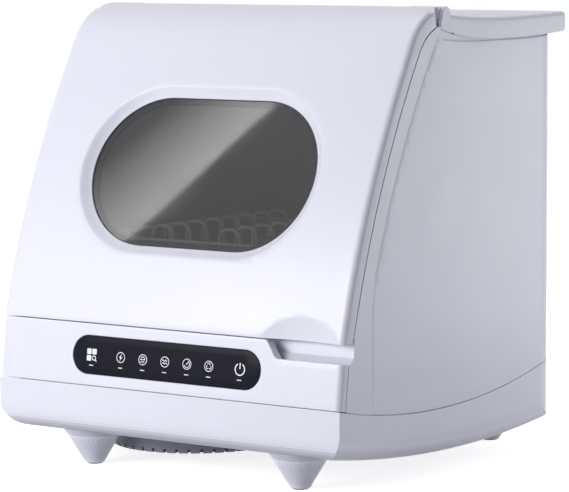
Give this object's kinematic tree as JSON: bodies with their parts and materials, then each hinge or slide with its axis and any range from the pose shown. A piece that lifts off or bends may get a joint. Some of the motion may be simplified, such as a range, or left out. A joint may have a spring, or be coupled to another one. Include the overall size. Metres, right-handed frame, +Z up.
{
  "type": "countertop dishwasher",
  "caption": "Compact worktop dishwasher with a curved flip-up door, a stadium window, a touch strip, a wire rack, spray arms and an open arched base on flared feet.",
  "frame": {"origin": "middle of the bounding box at the height of the foot pads' undersides", "axes": "+X to the right seen from the front, +Y to the rear where the hoses join, +Z up; the door faces -Y"},
  "size_m": [0.42, 0.42, 0.464],
  "materials": {
    "casing": "smooth moulded, satin gloss",
    "inner_plastic": "moulded, matte",
    "touch_glass": "black glossy sheet, flush with the fascia",
    "circuit": "circuit board with soldered parts",
    "steel": "stainless sheet and turned parts",
    "black_plastic": "moulded, matte",
    "grey_plastic": "moulded, matte",
    "rubber": "soft, matte",
    "hose": "soft hose, matte",
    "glass": "smoked, polished",
    "lamp": "milky diffuser",
    "coated_wire": "steel wire with a white plastic coat"
  },
  "bodies": {
    "cabinet": {"base_tray": "casing", "foot_pads": "rubber", "vent_housing": "inner_plastic", "front_frame": "casing", "left_panel": "casing", "right_panel": "casing", "rear_panel": "casing", "top_cover": "casing", "fascia": "casing", "touch_panel": "touch_glass", "touch_board": "circuit", "tub": "steel", "door_seal": "rubber", "left_rail": "grey_plastic", "right_rail": "grey_plastic", "sump_bowl": "grey_plastic", "suction_pipe": "black_plastic", "pump_volute": "black_plastic", "wash_motor": "steel", "pump_mount": "rubber", "flow_heater": "steel", "feed_manifold": "grey_plastic", "riser_pipe": "grey_plastic", "spray_caps": "black_plastic", "drain_pump": "black_plastic", "drain_hose": "hose", "inlet_valve": "casing", "inlet_hose": "hose", "water_inlet": "casing", "drain_spigot": "black_plastic", "cord_gland": "black_plastic", "fan_housing": "black_plastic", "fan_motor": "steel", "board_box": "inner_plastic", "control_board": "circuit", "wire_harness": "rubber", "tub_lamp": "lamp", "door_switch": "black_plastic", "catch_plates": "steel", "left_hinge_bracket": "casing", "right_hinge_bracket": "casing", "hinge_pins": "steel", "base_screws": "steel", "rear_screws": "steel"},
    "door": {"door_skin": "casing", "door_liner": "inner_plastic", "window_rim": "casing", "window_pane": "glass", "inner_pane": "glass", "window_seal": "rubber", "left_hinge_arm": "steel", "right_hinge_arm": "steel", "door_magnets": "black_plastic"},
    "rack": {"dish_rack": "coated_wire", "cutlery_basket": "grey_plastic"},
    "lower_arm": {"lower_spray_arm": "grey_plastic"},
    "upper_arm": {"upper_spray_arm": "grey_plastic"},
    "fan_rotor": {"fan_wheel": "grey_plastic"},
    "impeller": {"pump_impeller": "grey_plastic"},
    "filter": {"sump_filter": "steel"}
  },
  "joints": [
    {"name": "door_hinge", "type": "hinge", "parent": "cabinet", "child": "door", "pos_m": [0, -0.02414, 0.4565], "axis": [-1, 0, 0], "range_deg": [0, 75]},
    {"name": "rack_slide", "type": "slide", "parent": "cabinet", "child": "rack", "axis": [0, -1, 0], "range_m": [0, 0.15]},
    {"name": "lower_spray_spin", "type": "hinge", "parent": "cabinet", "child": "lower_arm", "pos_m": [0, 0.005, 0.145], "axis": [0, 0, 1], "continuous": true},
    {"name": "upper_spray_spin", "type": "hinge", "parent": "cabinet", "child": "upper_arm", "pos_m": [0, 0.035, 0.39], "axis": [0, 0, 1], "continuous": true},
    {"name": "fan_spin", "type": "hinge", "parent": "cabinet", "child": "fan_rotor", "pos_m": [0.095, 0.17, 0.34], "axis": [0, 1, 0], "continuous": true},
    {"name": "impeller_spin", "type": "hinge", "parent": "cabinet", "child": "impeller", "pos_m": [0, -0.075, 0.082], "axis": [1, 0, 0], "continuous": true},
    {"name": "filter_twist", "type": "hinge", "parent": "cabinet", "child": "filter", "pos_m": [0.06, -0.075, 0.13], "axis": [0, 0, 1], "range_deg": [0, 45]}
  ],
  "couplings": [
    {"joint": "rack_slide", "follows": "door_hinge", "m_per_rad": 0.1145}
  ]
}
